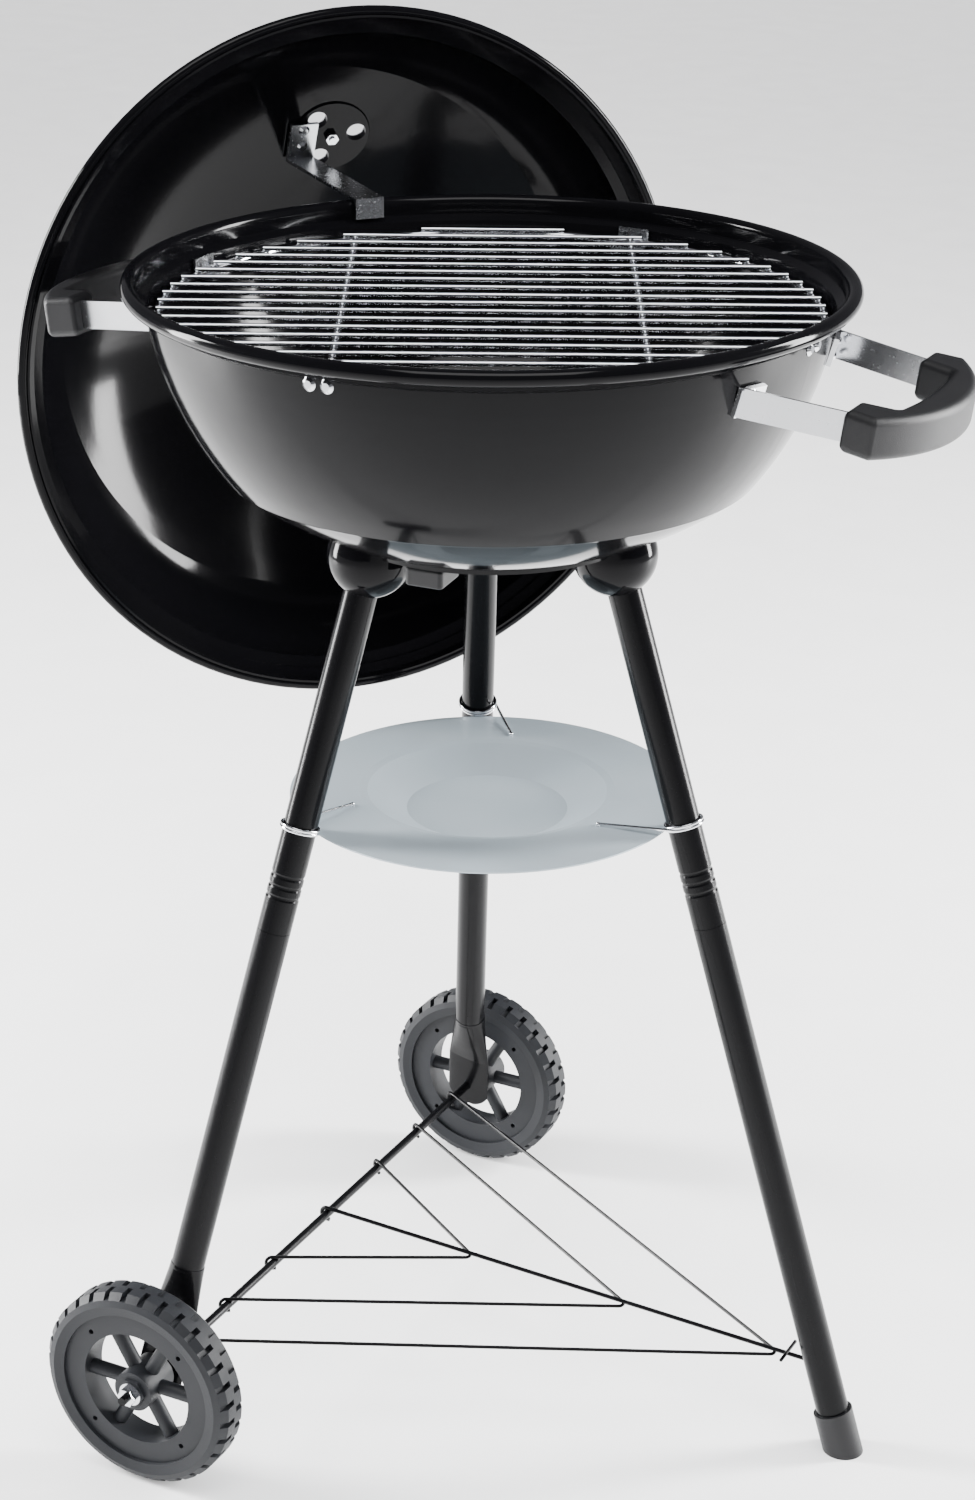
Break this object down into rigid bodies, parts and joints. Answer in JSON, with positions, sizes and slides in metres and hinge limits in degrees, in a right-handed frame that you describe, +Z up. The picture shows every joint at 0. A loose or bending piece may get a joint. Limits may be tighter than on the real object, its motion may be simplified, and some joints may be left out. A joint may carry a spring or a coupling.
{
  "type": "kettle charcoal grill",
  "caption": "Kettle charcoal grill: open steel bowl on splayed tube legs with two wheels, domed lid hung on the rim, wire grates, ash pan and a wire rack.",
  "frame": {"origin": "on the ground, under the middle of the bowl", "axes": "+Z up, +X towards the footed leg, Y along the wheel axle"},
  "size_m": [0.6773, 0.6209, 0.902],
  "materials": {
    "black_enamel": "gloss vitreous enamel",
    "black_tube": "gloss powder coat",
    "stainless": "brushed",
    "bright_plate": "bright plated",
    "grip_plastic": "fine satin grain",
    "wheel_plastic": "matte moulded",
    "galvanised": "dull galvanised"
  },
  "bodies": {
    "stand": {"ash_pan": "galvanised", "ash_pivot": "bright_plate", "axle": "black_tube", "axle_nuts": "bright_plate", "axle_spacers": "grip_plastic", "axle_washers": "bright_plate", "bowl": "black_enamel", "cup_screws": "bright_plate", "foot_cap": "grip_plastic", "grate_tabs": "stainless", "handle_front_arm_left": "stainless", "handle_front_arm_right": "stainless", "handle_front_grip": "grip_plastic", "handle_rear_arm_left": "stainless", "handle_rear_arm_right": "stainless", "handle_rear_grip": "grip_plastic", "handle_screws": "bright_plate", "leg_foot_cup": "black_enamel", "leg_foot_lower": "black_tube", "leg_foot_upper": "black_tube", "leg_left_cup": "black_enamel", "leg_left_lower": "black_tube", "leg_left_upper": "black_tube", "leg_right_cup": "black_enamel", "leg_right_lower": "black_tube", "leg_right_upper": "black_tube", "pan_clip_foot": "bright_plate", "pan_clip_left": "bright_plate", "pan_clip_right": "bright_plate", "rack_rod": "black_tube", "rack_wire_long": "black_tube", "rack_wire_middle": "black_tube", "rack_wire_short": "black_tube", "tab_rivets": "bright_plate"},
    "wheel_left": {"wheel_left_tyre": "wheel_plastic", "wheel_left_hub": "wheel_plastic"},
    "wheel_right": {"wheel_right_tyre": "wheel_plastic", "wheel_right_hub": "wheel_plastic"},
    "lid": {"lid": "black_enamel", "lid_bolt": "bright_plate", "lid_handle_bushes": "bright_plate", "lid_handle_grip": "grip_plastic", "lid_handle_screws": "bright_plate", "lid_handle_shield": "stainless", "lid_hook": "stainless", "lid_hook_rivets": "bright_plate", "lid_nut": "bright_plate"},
    "lid_damper": {"lid_damper": "stainless"},
    "ash_damper": {"ash_damper": "stainless", "ash_lever": "stainless", "ash_lever_grip": "grip_plastic"},
    "cooking_grate": {"cooking_grate": "bright_plate"},
    "coal_grate": {"coal_grate": "bright_plate"}
  },
  "joints": [
    {"name": "wheel_left_spin", "type": "hinge", "parent": "stand", "child": "wheel_left", "pos_m": [-0.1263, 0, 0.07], "axis": [0, 1, 0], "continuous": true},
    {"name": "wheel_right_spin", "type": "hinge", "parent": "stand", "child": "wheel_right", "pos_m": [-0.1263, 0, 0.07], "axis": [0, 1, 0], "continuous": true},
    {"name": "lid_lift", "type": "slide", "parent": "stand", "child": "lid", "axis": [0, 0, 1], "range_m": [0, 0.12]},
    {"name": "lid_damper_turn", "type": "hinge", "parent": "lid", "child": "lid_damper", "pos_m": [-0.25551, 0.24312, 0.794], "axis": [-0.6496, 0.6343, 0.4193], "range_deg": [0, 60]},
    {"name": "ash_damper_turn", "type": "hinge", "parent": "stand", "child": "ash_damper", "pos_m": [0, 0, 0.6117], "axis": [0, 0, 1], "range_deg": [0, 50]},
    {"name": "cooking_grate_lift", "type": "slide", "parent": "stand", "child": "cooking_grate", "axis": [0, 0, 1], "range_m": [0, 0.25]},
    {"name": "coal_grate_lift", "type": "slide", "parent": "stand", "child": "coal_grate", "axis": [0, 0, 1], "range_m": [0, 0.2]}
  ],
  "couplings": [
    {"joint": "coal_grate_lift", "follows": "cooking_grate_lift", "ratio": 0.8}
  ]
}
